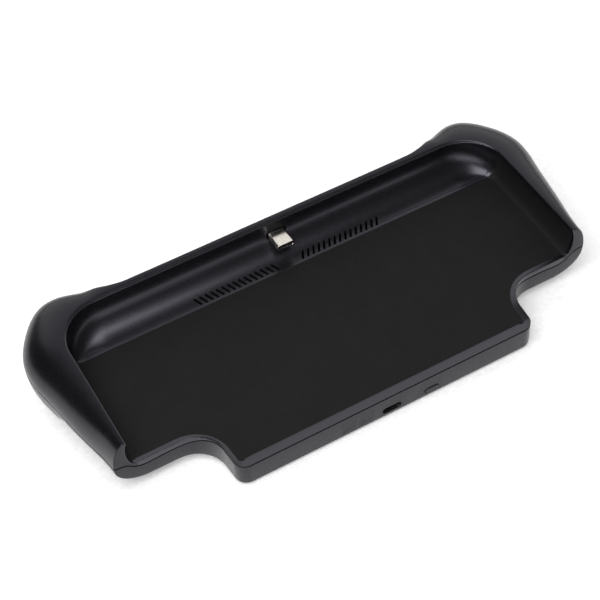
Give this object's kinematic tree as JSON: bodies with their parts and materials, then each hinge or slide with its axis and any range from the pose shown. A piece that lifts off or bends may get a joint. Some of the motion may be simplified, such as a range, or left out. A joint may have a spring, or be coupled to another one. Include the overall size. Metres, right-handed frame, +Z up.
{
  "type": "battery grip for a handheld game console",
  "caption": "Clip-on battery grip for a flat handheld game console: shallow tray with a charging plug, cut-outs for shoulder buttons, hand grips, status lights and a power button.",
  "frame": {"origin": "centre of the bounding box, on the surface that the grip stands on", "axes": "+X along the tray, +Y from the open near edge to the far wall that holds the charging plug, +Z up. The tray leans back by 8 degrees about X, because the grips are deeper than the near edge"},
  "size_m": [0.244, 0.1134, 0.0409],
  "materials": {
    "shell_plastic": "satin moulded plastic, finely textured on the tray floor",
    "plug_nickel": "bright nickel plate",
    "inner_plastic": "plain black plastic",
    "circuit_board": "green solder mask",
    "flat_cable_film": "amber film",
    "chip_epoxy": "dark moulding compound",
    "capacitor_tan": "tan ceramic",
    "light_clear": "clear plastic",
    "steel": "zinc plate",
    "cell_foil": "matt foil pouch",
    "cell_foam": "soft black foam",
    "lead_red": "silicone insulation",
    "lead_black": "silicone insulation"
  },
  "bodies": {
    "grip": {"tray_shell": "shell_plastic", "back_shell": "shell_plastic", "plug_shell": "plug_nickel", "port_shell": "plug_nickel", "plug_insert": "inner_plastic", "plug_holder": "inner_plastic", "port_tongue": "inner_plastic", "cable_socket": "inner_plastic", "plug_board": "circuit_board", "main_board": "circuit_board", "flat_cable": "flat_cable_film", "charge_chip": "chip_epoxy", "control_chip": "chip_epoxy", "power_coil": "chip_epoxy", "capacitor_1": "capacitor_tan", "capacitor_2": "capacitor_tan", "capacitor_3": "capacitor_tan", "capacitor_4": "capacitor_tan", "light_chip_1": "light_clear", "light_chip_2": "light_clear", "light_chip_3": "light_clear", "light_chip_4": "light_clear", "light_pipe_1": "light_clear", "light_pipe_2": "light_clear", "light_pipe_3": "light_clear", "light_pipe_4": "light_clear", "switch_body": "steel", "case_screw_1": "steel", "case_screw_2": "steel", "case_screw_3": "steel", "case_screw_4": "steel", "case_screw_5": "steel", "case_screw_6": "steel", "cell_right": "cell_foil", "cell_left": "cell_foil", "cell_pad_right": "cell_foam", "cell_pad_left": "cell_foam", "cell_lead_right_plus": "lead_red", "cell_lead_left_plus": "lead_red", "cell_lead_right_minus": "lead_black", "cell_lead_left_minus": "lead_black"},
    "button": {"power_button": "shell_plastic", "switch_plunger": "inner_plastic"}
  },
  "joints": [
    {"name": "button_press", "type": "slide", "parent": "grip", "child": "button", "axis": [0, 0.9903, 0.1392], "range_m": [0, 0.0004], "stiffness_N_per_m": 1500}
  ]
}
